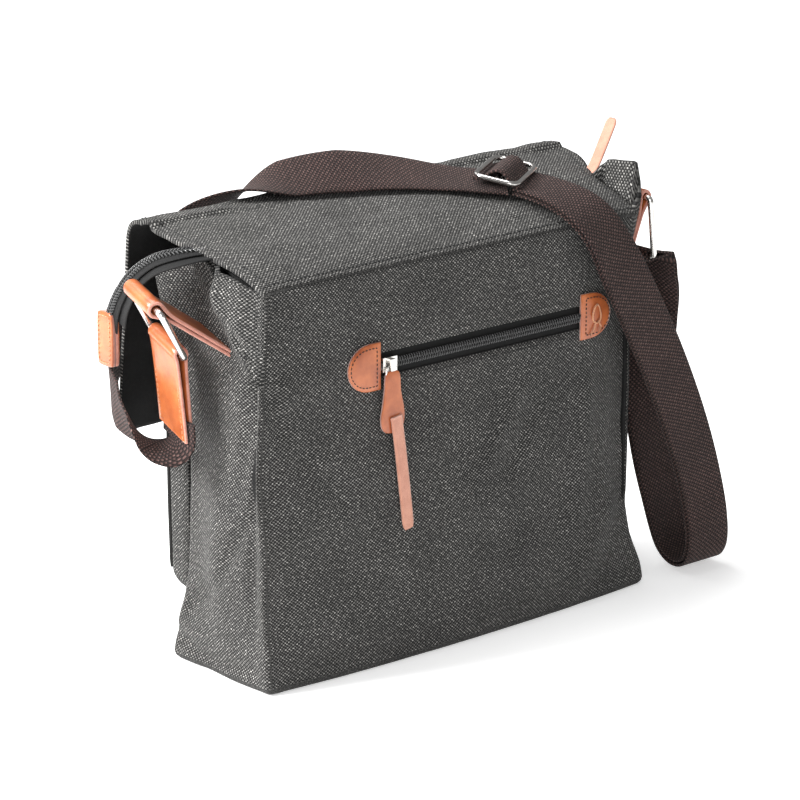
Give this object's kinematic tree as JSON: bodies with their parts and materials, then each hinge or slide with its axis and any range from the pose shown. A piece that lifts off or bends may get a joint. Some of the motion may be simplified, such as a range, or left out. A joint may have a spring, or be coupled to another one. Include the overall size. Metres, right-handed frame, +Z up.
{
  "type": "camera bag",
  "caption": "Canvas messenger camera bag with a folded flap, zipped top closure, zipped back pocket, padded insert and a webbing shoulder strap on leather tabs",
  "frame": {"origin": "middle of the base, on the ground", "axes": "X across the bag, the front faces -Y and the zipped back faces +Y, Z up"},
  "size_m": [0.4609, 0.183, 0.3226],
  "materials": {
    "canvas": "matte heathered canvas",
    "lining": "matte lining",
    "padding": "brushed loop cloth over foam",
    "board": "matte",
    "webbing": "matte webbing",
    "leather": "smooth, semi-gloss",
    "suede": "matte suede",
    "nickel": "polished nickel",
    "zip_tape": "matte",
    "zip_coil": "satin"
  },
  "bodies": {
    "bag": {"back_panel": "canvas", "back_pocket_pouch": "lining", "back_zip_coil": "zip_coil", "back_zip_tape_lower": "zip_tape", "back_zip_tape_upper": "zip_tape", "base_board": "board", "bottom_panel": "canvas", "front_panel": "canvas", "front_pocket": "canvas", "gusset_left": "canvas", "gusset_right": "canvas", "insert_back_wall": "padding", "insert_floor": "padding", "insert_front_wall": "padding", "insert_left_wall": "padding", "insert_right_wall": "padding", "patch_left": "leather", "patch_right": "leather", "snap_socket_left": "nickel", "snap_socket_right": "nickel", "strap_inner": "webbing", "strap_outer": "webbing", "tab_left": "leather", "tab_right": "leather", "zip_end_left": "canvas", "zip_end_right": "canvas", "zip_end_tab": "leather", "zip_tail": "zip_tape"},
    "left_divider": {"divider_left": "padding"},
    "right_divider": {"divider_right": "padding"},
    "flap_upper": {"flap_top": "canvas", "flap_top_lining": "lining", "strap_front": "webbing"},
    "flap_lower": {"flap_front": "canvas", "flap_front_lining": "lining", "snap_stud_left": "nickel", "snap_stud_right": "nickel"},
    "adjuster": {"adjuster_frame": "nickel", "adjuster_bar": "nickel"},
    "closure_rear": {"zip_panel_back": "canvas", "main_zip_tape_back": "zip_tape", "main_zip_coil_back": "zip_coil"},
    "closure_fore": {"zip_panel_front": "canvas", "main_zip_tape_front": "zip_tape", "main_zip_coil_front": "zip_coil"},
    "main_slider": {"main_zip_slider": "nickel", "main_pull_strip": "suede"},
    "back_slider": {"back_zip_slider": "nickel", "back_pull_ring": "nickel"},
    "back_pull": {"back_pull_leather": "leather", "back_pull_strip": "suede"},
    "left_ring": {"ring_left": "nickel", "strap_end_leather": "leather"},
    "right_ring": {"ring_right": "nickel", "strap_turn": "webbing"}
  },
  "joints": [
    {"name": "flap_lift", "type": "hinge", "parent": "bag", "child": "flap_upper", "pos_m": [0, 0.053, 0.2715], "axis": [-1, 0, 0], "range_deg": [0, 105], "deforming": ["strap_front", "strap_outer", "strap_inner", "strap_turn"]},
    {"name": "flap_unfold", "type": "hinge", "parent": "flap_upper", "child": "flap_lower", "pos_m": [0, -0.068, 0.294], "axis": [-1, 0, 0], "range_deg": [0, 75], "deforming": ["strap_front", "strap_outer", "strap_inner", "strap_turn"]},
    {"name": "adjuster_slide", "type": "slide", "parent": "flap_upper", "child": "adjuster", "axis": [-0.4887, 0.8577, -0.1596], "range_m": [-0.012, 0.012], "deforming": ["strap_front", "strap_outer", "strap_inner", "strap_turn"]},
    {"name": "main_zip_slide", "type": "slide", "parent": "bag", "child": "main_slider", "axis": [1, 0, 0], "range_m": [0, 0.285], "deforming": ["main_pull_strip"]},
    {"name": "closure_rear_fold", "type": "hinge", "parent": "bag", "child": "closure_rear", "pos_m": [0, 0.0465, 0.2665], "axis": [1, 0, 0], "range_deg": [0, 65]},
    {"name": "closure_fore_fold", "type": "hinge", "parent": "bag", "child": "closure_fore", "pos_m": [0, -0.058, 0.2655], "axis": [-1, 0, 0], "range_deg": [0, 65]},
    {"name": "back_zip_slide", "type": "slide", "parent": "bag", "child": "back_slider", "axis": [-1, 0, 0], "range_m": [0, 0.155]},
    {"name": "back_pull_swing", "type": "hinge", "parent": "back_slider", "child": "back_pull", "pos_m": [0.064, 0.05685, 0.1968], "axis": [1, 0, 0], "range_deg": [0, 140]},
    {"name": "left_ring_swing", "type": "hinge", "parent": "bag", "child": "left_ring", "pos_m": [0.2065, -0.0177, 0.2599], "axis": [-0.1299, -0.9572, 0.2588], "range_deg": [0, 35], "deforming": ["strap_front"]},
    {"name": "right_ring_swing", "type": "hinge", "parent": "bag", "child": "right_ring", "pos_m": [-0.1815, 0.023, 0.276], "axis": [0, 1, 0], "range_deg": [0, 35], "deforming": ["strap_outer", "strap_inner", "strap_turn"]},
    {"name": "left_divider_slide", "type": "slide", "parent": "bag", "child": "left_divider", "axis": [1, 0, 0], "range_m": [-0.04, 0.04]},
    {"name": "right_divider_slide", "type": "slide", "parent": "bag", "child": "right_divider", "axis": [1, 0, 0], "range_m": [-0.04, 0.04]}
  ],
  "couplings": [
    {"joint": "flap_unfold", "follows": "flap_lift", "ratio": 0.7},
    {"joint": "closure_rear_fold", "follows": "main_zip_slide", "rad_per_m": 3.9},
    {"joint": "closure_fore_fold", "follows": "main_zip_slide", "rad_per_m": 3.9}
  ]
}
